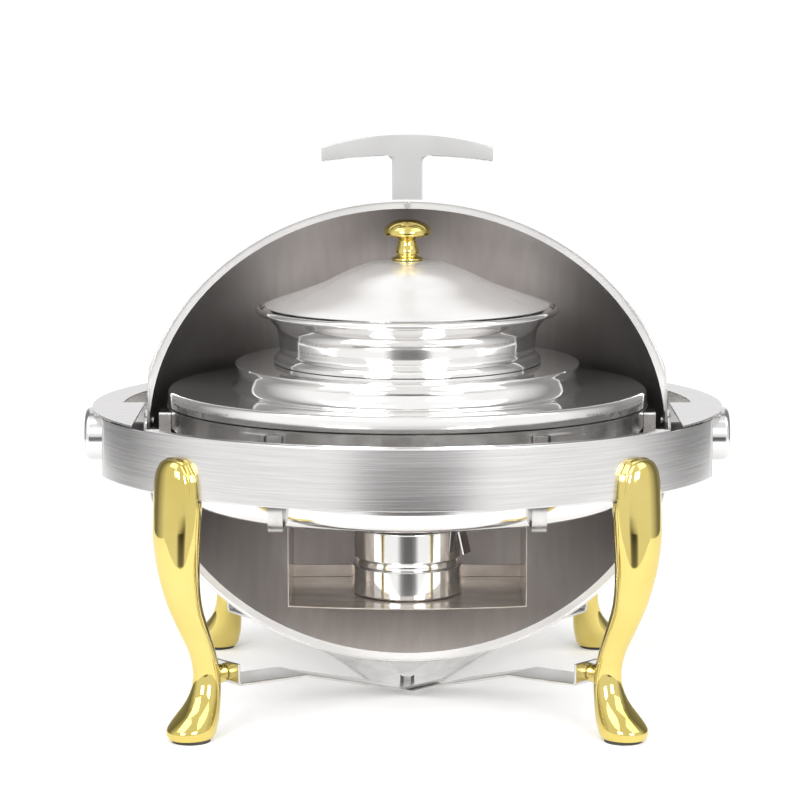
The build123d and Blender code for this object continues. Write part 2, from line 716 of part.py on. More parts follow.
# ---------------------------------------------------------------- crossed braces
# flat straps that dip to the middle, clear of the cover when it hangs below; the second lies on the first
brace_profile = [(58.7, 18.0), (131.0, 38.0), (brace_reach + brace_sheet / 2, 42.0)]
brace_end_top = 60.0
middle_flat = 24.0
brace_low = 6.0
middle_screw_radius = 3.0
for name, (side_x, side_y), lift in [("brace_lower", (1, -1), 0.0), ("brace_upper", (-1, -1), brace_sheet)]:
    way = brace_direction(side_x, side_y)
    upright = Plane(origin=(0, 0, 0), x_dir=way, z_dir=way.cross(Vector(0, 0, 1)))
    half = [(middle_flat, brace_low + lift), *brace_profile, (brace_reach + brace_sheet / 2, brace_end_top)]
    with BuildPart() as brace:
        with BuildSketch(upright):
            with BuildLine():
                Polyline(*[(-s, h) for s, h in reversed(half)], *half)
            trace(line_width=brace_sheet)
        extrude(amount=brace_width / 2, both=True)
        with BuildSketch():
            Circle(middle_screw_radius)
        extrude(amount=30, mode=Mode.SUBTRACT)
        with BuildSketch(brace_plane(side_x, side_y, -brace_reach - 10)):
            Circle(strap_screw_radius)
        extrude(amount=2 * brace_reach + 20, mode=Mode.SUBTRACT)
    save(brace, name)

with BuildPart() as middle_screw:
    with BuildSketch(Plane.XY.offset(brace_low - brace_sheet / 2 - 2)):
        Circle(2 * middle_screw_radius)
    extrude(amount=2)
    with BuildSketch(Plane.XY.offset(brace_low - brace_sheet / 2)):
        Circle(middle_screw_radius)
    extrude(amount=2 * brace_sheet + 1)
    with BuildSketch(Plane.XY.offset(brace_low + 1.5 * brace_sheet)):
        RegularPolygon(2 * middle_screw_radius, 6)
    extrude(amount=4)
save(middle_screw, "brace_middle_screw")

with BuildPart() as brace_screws:
    for side_x, side_y in corners:
        with BuildSketch(brace_plane(side_x, side_y, brace_reach)):
            Circle(strap_screw_radius)
        extrude(amount=brace_sheet + 10)
        with BuildSketch(brace_plane(side_x, side_y, brace_reach)):
            Circle(5)
        extrude(amount=-2.5)
save(brace_screws, "brace_screws")
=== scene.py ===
# %% [markdown]
# # Roll top chafer
# A food warmer for a buffet. An oval band stands on four gilt legs and carries two pivots. Half a
# spheroid of polished steel rolls about them over a water pan, an adapter plate, a soup inset with
# its lid, and a fuel holder in a tray below. Every piece here stands on the imported CAD frame: its
# heights are measured from the frame's pivot, and some pieces read their place and size from the
# frame's boxes.

# %% Load the frame and measure it
import bmesh
import bpy
import json
import math
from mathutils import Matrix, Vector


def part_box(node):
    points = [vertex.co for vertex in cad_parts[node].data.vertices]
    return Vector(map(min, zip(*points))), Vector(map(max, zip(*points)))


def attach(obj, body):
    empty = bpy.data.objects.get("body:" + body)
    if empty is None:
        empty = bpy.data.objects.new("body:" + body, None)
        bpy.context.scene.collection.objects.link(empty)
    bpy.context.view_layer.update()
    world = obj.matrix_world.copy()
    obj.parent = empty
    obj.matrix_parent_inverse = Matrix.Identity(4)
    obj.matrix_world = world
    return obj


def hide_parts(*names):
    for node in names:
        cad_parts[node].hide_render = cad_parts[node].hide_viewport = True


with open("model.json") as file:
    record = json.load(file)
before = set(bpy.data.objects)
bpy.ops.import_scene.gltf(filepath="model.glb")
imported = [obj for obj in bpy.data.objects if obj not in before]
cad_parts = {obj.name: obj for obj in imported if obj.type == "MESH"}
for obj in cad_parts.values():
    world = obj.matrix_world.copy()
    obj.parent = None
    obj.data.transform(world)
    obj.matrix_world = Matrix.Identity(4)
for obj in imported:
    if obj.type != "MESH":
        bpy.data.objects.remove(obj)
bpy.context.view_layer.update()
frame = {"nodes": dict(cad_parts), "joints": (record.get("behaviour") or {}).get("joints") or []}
pivot = frame["joints"][0]["pos_m"][2]
print("pivot height", round(pivot, 4), "nodes", len(frame["nodes"]))

# %% [markdown]
# The frame's nodes arrive selected, so everything is deselected before each new piece. The small
# helpers below wrap the few steps that every piece repeats: going in and out of edit mode,
# selecting points by where they are, and applying a modifier.


# %% Helpers for editing
def deselect():
    """Leave nothing selected, in object mode."""
    if bpy.context.object and bpy.context.object.mode != "OBJECT":
        bpy.ops.object.mode_set(mode="OBJECT")
    bpy.ops.object.select_all(action="DESELECT")


def enter(piece, kind="VERT"):
    """Open a piece in edit mode with nothing selected."""
    deselect()
    bpy.context.view_layer.objects.active = piece
    piece.select_set(True)
    bpy.ops.object.mode_set(mode="EDIT")
    bpy.ops.mesh.select_mode(type=kind)
    bpy.ops.mesh.select_all(action="DESELECT")


def pick(piece, test):
    """In edit mode, select the points, edges or faces whose middle passes the test."""
    mesh = bmesh.from_edit_mesh(piece.data)
    kinds = bpy.context.tool_settings.mesh_select_mode
    for item in mesh.verts:
        item.select = False
    mesh.select_flush(False)
    if kinds[0]:
        chosen = [v for v in mesh.verts if test(v.co)]
    elif kinds[1]:
        chosen = [e for e in mesh.edges if test((e.verts[0].co + e.verts[1].co) / 2)]
    else:
        chosen = [f for f in mesh.faces if test(f.calc_center_median())]
    for item in chosen:
        item.select = True
    mesh.select_flush_mode()
    bmesh.update_edit_mesh(piece.data)
    return len(chosen)


def leave(piece):
    """Make the normals agree, leave edit mode and settle the piece at the origin."""
    bpy.ops.mesh.select_all(action="SELECT")
    bpy.ops.mesh.normals_make_consistent(inside=False)
    bpy.ops.object.mode_set(mode="OBJECT")
    bpy.ops.object.transform_apply(location=True, rotation=True, scale=True)
    return piece


def solidify(piece, thickness, offset=-1.0):
    """Give a sheet its thickness."""
    bpy.ops.object.modifier_add(type="SOLIDIFY")
    modifier = piece.modifiers[-1]
    modifier.thickness = thickness
    modifier.offset = offset
    bpy.ops.object.modifier_apply(modifier=modifier.name)


def bevel(piece, width, segments=2, degrees=35):
    """Round the edges sharper than the given angle."""
    bpy.ops.object.modifier_add(type="BEVEL")
    modifier = piece.modifiers[-1]
    modifier.width = width
    modifier.segments = segments
    modifier.limit_method = "ANGLE"
    modifier.angle_limit = math.radians(degrees)
    bpy.ops.object.modifier_apply(modifier=modifier.name)


def smooth(piece, degrees=32, weighted=True):
    """Shade smooth, keep sharp edges crisp and flat faces flat, and say what was made."""
    bpy.ops.object.shade_smooth_by_angle(angle=math.radians(degrees))
    if weighted:
        bpy.ops.object.modifier_add(type="WEIGHTED_NORMAL")
        modifier = piece.modifiers[-1]
        modifier.keep_sharp = True
        bpy.ops.object.modifier_apply(modifier=modifier.name)
    print(piece.name, len(piece.data.polygons), "faces")


deselect()
print("selected after deselect", len(bpy.context.selected_objects))


# %% [markdown]
# Most of this object is turned or pressed sheet, round or oval in plan. A lathe tool only makes
# round things, so the pieces grow as stacks of rings: a circle is scaled to the first oval, and
# each further ring is extruded from it, lifted and scaled about its own level. A smooth profile is
# drawn with a few points and a curve through them.


# %% Ring stacks and smooth profiles
def curve_through(points, steps):
    """A smooth list of points through the given ones, with a number of steps between neighbours."""
    result = []
    for i in range(len(points) - 1):
        before = points[max(i - 1, 0)]
        start, end = points[i], points[i + 1]
        after = points[min(i + 2, len(points) - 1)]
        for step in range(steps):
            t = step / steps
            weights = (
                -0.5 * t**3 + t**2 - 0.5 * t,
                1.5 * t**3 - 2.5 * t**2 + 1,
                -1.5 * t**3 + 2 * t**2 + 0.5 * t,
                0.5 * t**3 - 0.5 * t**2,
            )
            corners = (before, start, end, after)
            blend = [sum(w * p[k] for w, p in zip(weights, corners)) for k in range(len(start))]
            result.append(tuple(blend))
    result.append(tuple(points[-1]))
    return result


def ring_stack(name, rings, sides=128, close_start=False, close_end=False):
    """Stack rings of (half width, half depth, height) by extruding a circle. Stays in edit mode."""
    deselect()
    bpy.ops.mesh.primitive_circle_add(
        vertices=sides, radius=1, fill_type="NOTHING", location=(0, 0, 0)
    )
    piece = bpy.context.object
    piece.name = name
    bpy.ops.object.mode_set(mode="EDIT")
    bpy.ops.mesh.select_mode(type="VERT")
    bpy.ops.mesh.select_all(action="SELECT")
    half_x, half_y, height = rings[0]
    bpy.ops.transform.resize(value=(half_x, half_y, 1))
    bpy.ops.transform.translate(value=(0, 0, height))
    if close_start:
        bpy.ops.mesh.extrude_region_move()
        bpy.ops.mesh.merge(type="CENTER")
        pick(piece, lambda p: math.hypot(p.x, p.y) > 0.3 * min(half_x, half_y))
    for new_x, new_y, new_height in rings[1:]:
        rise = (0, 0, new_height - height)
        bpy.ops.mesh.extrude_region_move(TRANSFORM_OT_translate={"value": rise})
        factors = (new_x / half_x, new_y / half_y, 1)
        bpy.ops.transform.resize(value=factors, center_override=(0, 0, new_height))
        half_x, half_y, height = new_x, new_y, new_height
    if close_end:
        bpy.ops.mesh.extrude_region_move()
        bpy.ops.mesh.merge(type="CENTER")
    return piece


def turned(points):
    """Round rings from (radius, level) pairs in millimetres measured from the pivot."""
    return [(r / 1000, r / 1000, pivot + level / 1000) for r, level in points]


def oval(half_x, half_y, points):
    """Oval rings from (inset, level) pairs in millimetres, inset from the given half sizes."""
    return [(half_x - d / 1000, half_y - d / 1000, pivot + level / 1000) for d, level in points]


print("points on a smooth profile", len(curve_through([(0, 0), (1, 1), (2, 0)], 4)))


# %% [markdown]
# ## Finishes
# Nearly everything is stainless steel, and steel shows its surroundings. What changes from piece
# to piece is how sharply: the inset and pan are mirror polished, the band is satin with a fine
# horizontal grain, and the inside of the cover is a duller, warmer satin. Each finish mixes two
# close tones by a noise that is stretched along the grain, and the same noise gives the roughness
# a little life and the surface a faint bump.


# %% Materials
def metal(
    name, dark, light, roughness,
    grain=(1, 1, 1), scale=30, bump=0.02, spread=0.05, metallic=1.0,
):
    """A metal whose tone, roughness and bump follow a stretched noise."""
    material = bpy.data.materials.new(name)
    material.use_nodes = True
    nodes = material.node_tree.nodes
    links = material.node_tree.links
    shader = nodes["Principled BSDF"]
    shader.inputs["Metallic"].default_value = metallic
    place = nodes.new("ShaderNodeTexCoord")
    stretch = nodes.new("ShaderNodeMapping")
    stretch.inputs["Scale"].default_value = grain
    noise = nodes.new("ShaderNodeTexNoise")
    noise.inputs["Scale"].default_value = scale
    noise.inputs["Detail"].default_value = 4
    tone = nodes.new("ShaderNodeValToRGB")
    tone.color_ramp.elements[0].position = 0.3
    tone.color_ramp.elements[0].color = (*dark, 1)
    tone.color_ramp.elements[1].position = 0.7
    tone.color_ramp.elements[1].color = (*light, 1)
    polish = nodes.new("ShaderNodeMapRange")
    polish.inputs["To Min"].default_value = max(roughness - spread, 0.01)
    polish.inputs["To Max"].default_value = roughness + spread
    relief = nodes.new("ShaderNodeBump")
    relief.inputs["Strength"].default_value = bump
    relief.inputs["Distance"].default_value = 0.0005
    links.new(place.outputs["Object"], stretch.inputs["Vector"])
    links.new(stretch.outputs["Vector"], noise.inputs["Vector"])
    links.new(noise.outputs["Fac"], tone.inputs["Fac"])
    links.new(noise.outputs["Fac"], polish.inputs["Value"])
    links.new(noise.outputs["Fac"], relief.inputs["Height"])
    links.new(tone.outputs["Color"], shader.inputs["Base Color"])
    links.new(polish.outputs["Result"], shader.inputs["Roughness"])
    links.new(relief.outputs["Normal"], shader.inputs["Normal"])
    return material


def plain(name, dark, light, roughness, scale=60):
    """A rubber or plastic with a slightly uneven tone."""
    return metal(name, dark, light, roughness, scale=scale, bump=0.1, metallic=0.0)


mirror_steel = metal(
    "mirror_steel", (0.82, 0.81, 0.80), (0.88, 0.87, 0.86), 0.08,
    scale=14, bump=0.01, spread=0.03, metallic=0.93,
)
lid_steel = metal(
    "lid_steel", (0.80, 0.785, 0.78), (0.87, 0.86, 0.85), 0.22,
    scale=18, bump=0.01, spread=0.03, metallic=0.65,
)
bright_steel = metal(
    "bright_steel", (0.76, 0.755, 0.75), (0.82, 0.815, 0.81), 0.12, scale=25, spread=0.03
)
cap_steel = metal(
    "cap_steel", (0.66, 0.655, 0.65), (0.74, 0.735, 0.73), 0.16, scale=25, spread=0.03
)
satin_steel = metal(
    "satin_steel", (0.66, 0.65, 0.645), (0.76, 0.75, 0.745), 0.24,
    grain=(0.6, 0.6, 40), scale=26, bump=0.03,
)
plate_steel = metal(
    "plate_steel", (0.60, 0.585, 0.585), (0.68, 0.665, 0.665), 0.27, grain=(0.6, 9, 9), bump=0.03
)
carrier_steel = metal(
    "carrier_steel", (0.56, 0.55, 0.54), (0.68, 0.67, 0.66), 0.25,
    grain=(2, 2, 2), scale=40, bump=0.04,
)
cover_outside = metal(
    "cover_outside", (0.62, 0.60, 0.59), (0.72, 0.70, 0.69), 0.10,
    grain=(5, 1, 1), scale=12, bump=0.01,
)
cover_inside = metal(
    "cover_inside", (0.86, 0.83, 0.82), (0.96, 0.94, 0.93), 0.36,
    grain=(12, 1, 1), scale=12, bump=0.03, metallic=0.22,
)
rim_steel = metal(
    "rim_steel", (0.70, 0.69, 0.68), (0.78, 0.77, 0.76), 0.22,
    scale=20, bump=0.01, spread=0.03, metallic=0.45,
)
screw_steel = metal("screw_steel", (0.50, 0.50, 0.50), (0.66, 0.66, 0.66), 0.18, scale=120)
tray_steel = metal(
    "tray_steel", (0.44, 0.38, 0.33), (0.72, 0.67, 0.62), 0.20,
    grain=(3, 14, 3), scale=9, bump=0.05, metallic=0.7,
)
can_tin = metal("can_tin", (0.48, 0.46, 0.42), (0.60, 0.57, 0.52), 0.30, scale=50)
gilt = metal(
    "gilt", (0.62, 0.49, 0.13), (0.73, 0.60, 0.21), 0.06, scale=10, bump=0.01, spread=0.03
)
rubber = plain("rubber", (0.025, 0.025, 0.025), (0.05, 0.05, 0.05), 0.7)
bush_plastic = plain("bush_plastic", (0.05, 0.05, 0.05), (0.09, 0.09, 0.09), 0.45)
print("finishes", len(bpy.data.materials))


# %% [markdown]
# The inside of the cover is a spun bowl that was only wiped satin, so it is matt enough to scatter
# light. The lamps light it in broad soft patches, and these are painted into its colour: a painted
# highlight on each side above the pivots that fades into painted shade at the edges, and a paler
# painted middle below them. They could be left to the lamps, but on a matt bowl they come out
# steadier as painted light and shade. One ramp runs over the distance from those painted highlights
# and one over the distance from the middle, and the height blends one into the other.

# %% Painted light and shade inside the cover
nodes = cover_inside.node_tree.nodes
links = cover_inside.node_tree.links
shader = nodes["Principled BSDF"]
place = nodes["Texture Coordinate"]
parts = nodes.new("ShaderNodeSeparateXYZ")
links.new(place.outputs["Object"], parts.inputs["Vector"])
aside = nodes.new("ShaderNodeMath")
aside.operation = "ABSOLUTE"
links.new(parts.outputs["X"], aside.inputs[0])
outward = nodes.new("ShaderNodeMapRange")
outward.inputs["From Max"].default_value = 0.22
links.new(aside.outputs["Value"], outward.inputs["Value"])


def painted_light_ramp(stops, source):
    """Painted light and shade as a warm grey ramp over a distance, from (position, tone) pairs."""
    ramp = nodes.new("ShaderNodeValToRGB")
    ramp.color_ramp.interpolation = "B_SPLINE"
    elements = ramp.color_ramp.elements
    for element, (position, tone) in ((elements[0], stops[0]), (elements[1], stops[-1])):
        element.position = position
        element.color = (tone, tone * 0.965, tone * 0.95, 1)
    for position, tone in stops[1:-1]:
        elements.new(position).color = (tone, tone * 0.965, tone * 0.95, 1)
    links.new(source.outputs["Result"], ramp.inputs["Fac"])
    return ramp


across_and_up = nodes.new("ShaderNodeCombineXYZ")
links.new(aside.outputs["Value"], across_and_up.inputs["X"])
links.new(parts.outputs["Z"], across_and_up.inputs["Z"])
# Distance from the middle of each painted highlight, high on the side of the bowl.
from_painted_highlight = nodes.new("ShaderNodeVectorMath")
from_painted_highlight.operation = "DISTANCE"
from_painted_highlight.inputs[1].default_value = (0.064, 0, pivot + 0.122)
links.new(across_and_up.outputs["Vector"], from_painted_highlight.inputs[0])
spread = nodes.new("ShaderNodeMapRange")
spread.inputs["From Max"].default_value = 0.20
links.new(from_painted_highlight.outputs["Value"], spread.inputs["Value"])
# Painted highlight above each pivot, fading through painted shade to the dark edges.
painted_highlight_stops = [(0.0, 1.0), (0.22, 1.0), (0.38, 0.36), (0.52, 0.16), (0.72, 0.08), (1.0, 0.04)]
painted_highlights = painted_light_ramp(painted_highlight_stops, spread)
# Below the pivots: a paler painted middle, with painted shade growing towards the sides.
painted_lower_light = painted_light_ramp([(0.0, 0.95), (0.45, 0.85), (0.70, 0.50), (1.0, 0.22)], outward)
climb = nodes.new("ShaderNodeMapRange")
climb.inputs["From Min"].default_value = pivot - 0.06
climb.inputs["From Max"].default_value = pivot + 0.04
links.new(parts.outputs["Z"], climb.inputs["Value"])
blend = nodes.new("ShaderNodeMix")
blend.data_type = "RGBA"
links.new(climb.outputs["Result"], blend.inputs["Factor"])
links.new(painted_lower_light.outputs["Color"], blend.inputs["A"])
links.new(painted_highlights.outputs["Color"], blend.inputs["B"])
# The painted light and shade multiply the steel's own noise tone.
painted_light_on_grain = nodes.new("ShaderNodeMix")
painted_light_on_grain.data_type = "RGBA"
painted_light_on_grain.blend_type = "MULTIPLY"
painted_light_on_grain.inputs["Factor"].default_value = 1.0
links.new(blend.outputs["Result"], painted_light_on_grain.inputs["A"])
links.new(nodes["Color Ramp"].outputs["Color"], painted_light_on_grain.inputs["B"])
links.new(painted_light_on_grain.outputs["Result"], shader.inputs["Base Color"])
print("inside finish", len(nodes), "shader nodes")


# %% Coating a piece
def coat(piece, material):
    """Give a whole piece one material."""
    piece.data.materials.clear()
    piece.data.materials.append(material)


print("pieces to coat", len(frame["nodes"]))

# %% [markdown]
# ## Frame band
# A strip of sheet is rolled into an oval hoop, pressed flat where each pivot goes through, and its
# bottom edge is folded in. At the front the top edge is folded in too. The hoop is a stack of two
# rings. The flats are made by squeezing the points past them onto one plane, and the front fold is
# extruded from the top edges that lie in front. Bridging two hoops would do as well, but extruding
# keeps one ring of points all the way, which is easy to select by height.

# %% Frame band
low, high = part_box("frame_band")
band_x = 0.265
band_y = high.y
flat_x = high.x
lip = 0.008
turn_r = 0.0015
fold_from = -0.14
band_rings = [(band_x, band_y, low.z + turn_r), (band_x, band_y, high.z - turn_r)]
band = ring_stack("band", band_rings, 192)
for side in (1, -1):
    pick(band, lambda p: side * p.x > flat_x)
    bpy.ops.transform.resize(value=(0, 1, 1), center_override=(side * flat_x, 0, 0))
bpy.ops.mesh.select_mode(type="EDGE")
folds = (
    (low.z, -1, lambda p: p.z < low.z + 2 * turn_r),
    (high.z, 1, lambda p: p.z > high.z - 2 * turn_r and p.y < fold_from),
)
for edge_z, way, test in folds:
    pick(band, test)
    for inset_by, rise in ((0.0005, 0.0011), (0.001, 0.0004), (lip - turn_r, 0)):
        bpy.ops.mesh.extrude_region_move(TRANSFORM_OT_translate={"value": (0, 0, way * rise)})
        factors = (1 - inset_by / band_x, 1 - inset_by / band_y, 1)
        bpy.ops.transform.resize(value=factors, center_override=(0, 0, edge_z))
leave(band)
solidify(band, 0.0014)
smooth(band)
coat(band, satin_steel)
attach(band, "frame")
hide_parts("frame_band")

# %% [markdown]
# ## Pivot caps
# Each pivot ends in a turned, polished cap. It starts as a cylinder lying along the pivot, its
# outer edge is rounded, and the end face gets a shallow recess, as a turned cap has. The left one is
# a mirrored copy with a mesh of its own, whose normals are then recalculated.

# %% Right pivot cap
low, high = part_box("pivot_cap_right")
round_edge = 0.0045
deselect()
bpy.ops.mesh.primitive_cylinder_add(
    vertices=96, radius=(high.z - low.z) / 2, depth=high.x - low.x,
    location=((low.x + high.x) / 2, 0, pivot), rotation=(0, math.radians(90), 0),
)
cap_right = bpy.context.object
cap_right.name = "cap_right"
bpy.ops.object.transform_apply(location=True, rotation=True, scale=True)
enter(cap_right, "FACE")
pick(cap_right, lambda p: abs(p.x - high.x) < 0.0001)
bpy.ops.mesh.bevel(offset=round_edge, segments=8, affect="EDGES")
pick(cap_right, lambda p: abs(p.x - high.x) < 0.0001)
bpy.ops.mesh.inset(thickness=0.004)
bpy.ops.transform.translate(value=(-0.0006, 0, 0))
leave(cap_right)
smooth(cap_right, 40)
coat(cap_right, cap_steel)


# %% Left pivot cap
def mirrored(piece, name, flip):
    """A copy with its own mesh, mirrored about the middle of the object."""
    other = piece.copy()
    other.data = piece.data.copy()
    other.name = name
    bpy.context.scene.collection.objects.link(other)
    deselect()
    other.select_set(True)
    bpy.context.view_layer.objects.active = other
    other.scale = flip
    bpy.ops.object.transform_apply(location=True, rotation=True, scale=True)
    enter(other)
    leave(other)
    return other


cap_left = mirrored(cap_right, "cap_left", (-1, 1, 1))
smooth(cap_left, 40)
for side_name, cap in (("right", cap_right), ("left", cap_left)):
    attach(cap, "frame")
    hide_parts("pivot_cap_" + side_name)
print("caps from", round(cap_left.bound_box[0][0], 4), "to", round(high.x, 4))

# %% [markdown]
# ## Rolling cover
# The real cover is spun from one disc into half a spheroid. A ball with its poles on the pivot axis
# is scaled to it, the front half is deleted, and the rim left by the cut is extruded outwards into
# a flange, then forwards and back in as a rolled bead. Beside each pivot the flange is squeezed
# flat so that it clears the ear plates. The inside of the sheet keeps a duller finish than the
# outside, which the Solidify modifier sets by its material offset, and the faces of the flange and
# its bead then get a brighter finish of their own, as a rim that is polished by hand has.

# %% Cover shell
low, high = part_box("dome_shell")
dome_x, dome_r = 0.219, high.y
flat_from = 0.2188
bead_wide, bead_high = 7.7, 7.0
deselect()
bpy.ops.mesh.primitive_uv_sphere_add(
    segments=128, ring_count=64, radius=1, location=(0, 0, 0), rotation=(0, math.radians(90), 0)
)
dome = bpy.context.object
dome.name = "cover"
bpy.ops.object.transform_apply(location=True, rotation=True, scale=True)
enter(dome, "FACE")
pick(dome, lambda p: p.y < 0)
bpy.ops.mesh.delete(type="FACE")
bpy.ops.mesh.select_all(action="SELECT")
bpy.ops.transform.resize(value=(dome_x, dome_r, dome_r), center_override=(0, 0, 0))
bpy.ops.transform.translate(value=(0, 0, pivot))
bpy.ops.mesh.select_mode(type="EDGE")
bpy.ops.mesh.select_all(action="DESELECT")
bpy.ops.mesh.select_non_manifold(extend=False)
front = 0.0
reach_x, reach_z = dome_x, dome_r
bead = [
    (0.0030, 0), (0.0060, 0), (0.0070, -0.0006), (0.0077, -0.0014), (0.0077, -0.0026),
    (0.0070, -0.0032), (0.0060, -0.0032),
]
for wider, forward in bead:
    bpy.ops.mesh.extrude_region_move(TRANSFORM_OT_translate={"value": (0, forward - front, 0)})
    new_x, new_z = dome_x + wider, dome_r + wider * bead_high / bead_wide
    factors = (new_x / reach_x, 1, new_z / reach_z)
    bpy.ops.transform.resize(value=factors, center_override=(0, forward, pivot))
    reach_x, reach_z, front = new_x, new_z, forward
bpy.ops.mesh.select_mode(type="VERT")
for side in (1, -1):
    pick(dome, lambda p: side * p.x > flat_from and p.y < 0.0005)
    bpy.ops.transform.resize(value=(0, 1, 1), center_override=(side * flat_from, 0, 0))
leave(dome)
dome.data.materials.append(cover_outside)
dome.data.materials.append(cover_inside)
dome.data.materials.append(rim_steel)
bpy.ops.object.modifier_add(type="SOLIDIFY")
modifier = dome.modifiers[-1]
modifier.thickness = 0.0009
modifier.offset = -1
modifier.material_offset = 1
bpy.ops.object.modifier_apply(modifier=modifier.name)
smooth(dome, 40)
for face in dome.data.polygons:
    reach = math.hypot(face.center.x / dome_x, (face.center.z - pivot) / dome_r)
    if face.center.y < 0.0008 and reach > 0.999:
        face.material_index = 2
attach(dome, "dome")
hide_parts("dome_shell")

# %% [markdown]
# ## Cover handle
# A flat T is cut from thick plate and polished. A small plane becomes the middle of the bar. The
# bar's ends are extruded step by step along two arcs, the stem is extruded down with a soft corner
# on each side, and then the sheet gets its thickness and rounded edges.

# %% Cover handle
low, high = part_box("dome_handle")
bar_half = high.x
bar_thick = 0.0045


def arc_drop(x, half, drop):
    """How far an arc that drops at its ends has dropped at x."""
    radius = (half * half + drop * drop) / (2 * drop)
    return radius - math.sqrt(radius * radius - x * x)


def bar_top(x):
    """Height of the bar's upper edge at x."""
    return high.z - arc_drop(x, bar_half, 0.0105)


def bar_low(x):
    """Height of the bar's lower edge at x."""
    return pivot + 0.2345 - arc_drop(x, bar_half, 0.005)


steps = 26
edges = [-bar_half + 2 * bar_half * step / steps for step in range(steps + 1)]
deselect()
bpy.ops.mesh.primitive_plane_add(size=2, location=(0, 0, 0), rotation=(math.radians(90), 0, 0))
handle = bpy.context.object
handle.name = "handle"
bpy.ops.object.transform_apply(location=True, rotation=True, scale=True)
enter(handle)
pick(handle, lambda p: p.x > 0)
bpy.ops.mesh.delete(type="VERT")
bpy.ops.mesh.select_all(action="SELECT")
at = edges[0]
half_high = (bar_top(at) - bar_low(at)) / 2
bpy.ops.transform.resize(value=(1, 1, half_high))
bpy.ops.transform.translate(value=(1 + at, 0, (bar_top(at) + bar_low(at)) / 2))
for to in edges[1:]:
    centre = (bar_top(to) + bar_low(to)) / 2
    rise = centre - (bar_top(at) + bar_low(at)) / 2
    bpy.ops.mesh.extrude_region_move(TRANSFORM_OT_translate={"value": (to - at, 0, rise)})
    factor = (bar_top(to) - bar_low(to)) / (bar_top(at) - bar_low(at))
    bpy.ops.transform.resize(value=(1, 1, factor), center_override=(to, 0, centre))
    at = to
bpy.ops.mesh.select_mode(type="EDGE")
width = 0.0165
pick(handle, lambda p: abs(p.x) < width and p.z < bar_low(p.x) + 0.001)
stem_steps = (
    (0.0012, 0.0148), (0.0018, 0.0133), (0.0025, 0.0125), (0.0150, 0.0125), (0.0160, 0.0125)
)
for drop, half in stem_steps:
    bpy.ops.mesh.extrude_region_move(TRANSFORM_OT_translate={"value": (0, 0, -drop)})
    bpy.ops.transform.resize(value=(half / width, 1, 1), center_override=(0, 0, 0))
    width = half
bpy.ops.transform.resize(value=(1, 1, 0), center_override=(0, 0, low.z))
bpy.ops.mesh.select_all(action="SELECT")
bpy.ops.transform.translate(value=(0, bar_thick / 2, 0))
leave(handle)
solidify(handle, bar_thick, 0)
bevel(handle, 0.0008, 3, 50)
smooth(handle, 40)
coat(handle, cap_steel)
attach(handle, "dome")
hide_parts("dome_handle")

# %% [markdown]
# ## Water pan
# A pressed oval pan hangs by its flange in the carrier hoop. The stack starts at the middle of the
# bottom, goes round the bottom corner in small steps, up the wall and out into the flange.

# %% Water pan
pan_x, pan_y = 0.195, 0.1716
corner_r = 20
corner_at = [math.radians(10 * step) for step in range(10)]
corner = [(corner_r - corner_r * math.sin(a), -35 - corner_r * math.cos(a)) for a in corner_at]
wall = [(0, -20), (0, 22), (-0.6, 25), (-2, 26.4), (-7.9, 26.6), (-7.9, 26.0)]
pan = ring_stack("pan", oval(pan_x, pan_y, [(60, -55)] + corner + wall), 160, close_start=True)
leave(pan)
solidify(pan, 0.0011)
smooth(pan)
coat(pan, mirror_steel)
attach(pan, "frame")
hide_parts("water_pan")

# %% [markdown]
# ## Adapter plate
# An oval lid for the pan with a round raised collar, which is what the soup inset hangs in. The
# outer hem is oval and the collar is round: the rings change from one to the other across the flat.

# %% Adapter plate
low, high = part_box("adapter_plate")
hem = oval(high.x, high.y, [(0, 27.6), (0, 36.5), (0.4, 38.6), (1.6, 40.2), (3.6, 41.0)])
collar = [
    (150.6, 41.0), (148.6, 41.2), (147.0, 42.1), (145.2, 43.8), (143.8, 46.0), (142.7, 49.0),
    (142.2, 52.0), (142.4, 55.0), (143.2, 57.4), (144.5, 59.2), (145.0, 60.6), (144.6, 61.6),
    (143.6, 62.0), (128.0, 62.0), (112.5, 62.0), (111.2, 61.6), (110.5, 60.6), (110.5, 54.2),
]
adapter = ring_stack("adapter", hem + turned(collar), 160)
leave(adapter)
solidify(adapter, 0.0011)
smooth(adapter)
coat(adapter, mirror_steel)
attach(adapter, "frame")
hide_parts("adapter_plate")

# %% [markdown]
# ## Soup inset
# A spun pot with a waisted neck. It sits on the collar by a bead, and its rim is rolled outwards.
# The rim is a stretch of circle, so its points come from an angle, and the neck is a smooth profile.

# %% Soup inset
roll_at = [math.radians(a) for a in range(215, 475, 20)]
roll_r = 2.75
roll = [(124.7 + roll_r * math.cos(a), 105.8 + roll_r * math.sin(a)) for a in roll_at]
neck_points = [
    (109.4, 69.0), (107.2, 71.7), (107.8, 76.0), (109.6, 89.0), (114.0, 96.0), (122.0, 103.4)
]
neck = curve_through(neck_points, 4)
pot = [
    (60, -25), (96, -25), (102, -22), (106, -15), (108.4, 40), (108.4, 62.2), (112.3, 62.4),
    (112.4, 65.2), (111.0, 67.4),
]
inset = ring_stack("inset", turned(pot + neck + roll), 128, close_start=True)
leave(inset)
solidify(inset, 0.0009)
smooth(inset)
coat(inset, mirror_steel)
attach(inset, "frame")
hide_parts("soup_inset")

# %% [markdown]
# ## Inset lid and knob
# The lid is a low dome with a flat crown. The knob is turned from brass and plated: a small foot, a
# waisted stem and a mushroom head, all one stack of rings.

# %% Inset lid
crown = [
    (119.5, 110.1), (110.2, 113.6), (89.9, 120.6), (70.5, 128.0), (50.2, 138.0), (33, 144.6),
    (24.0, 146.6), (14.0, 147.2),
]
lid = ring_stack("lid", turned([(119.5, 109.3)] + curve_through(crown, 5)), 128, close_end=True)
leave(lid)
solidify(lid, 0.0010)
smooth(lid)
coat(lid, lid_steel)
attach(lid, "inset_lid")
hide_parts("inset_lid")

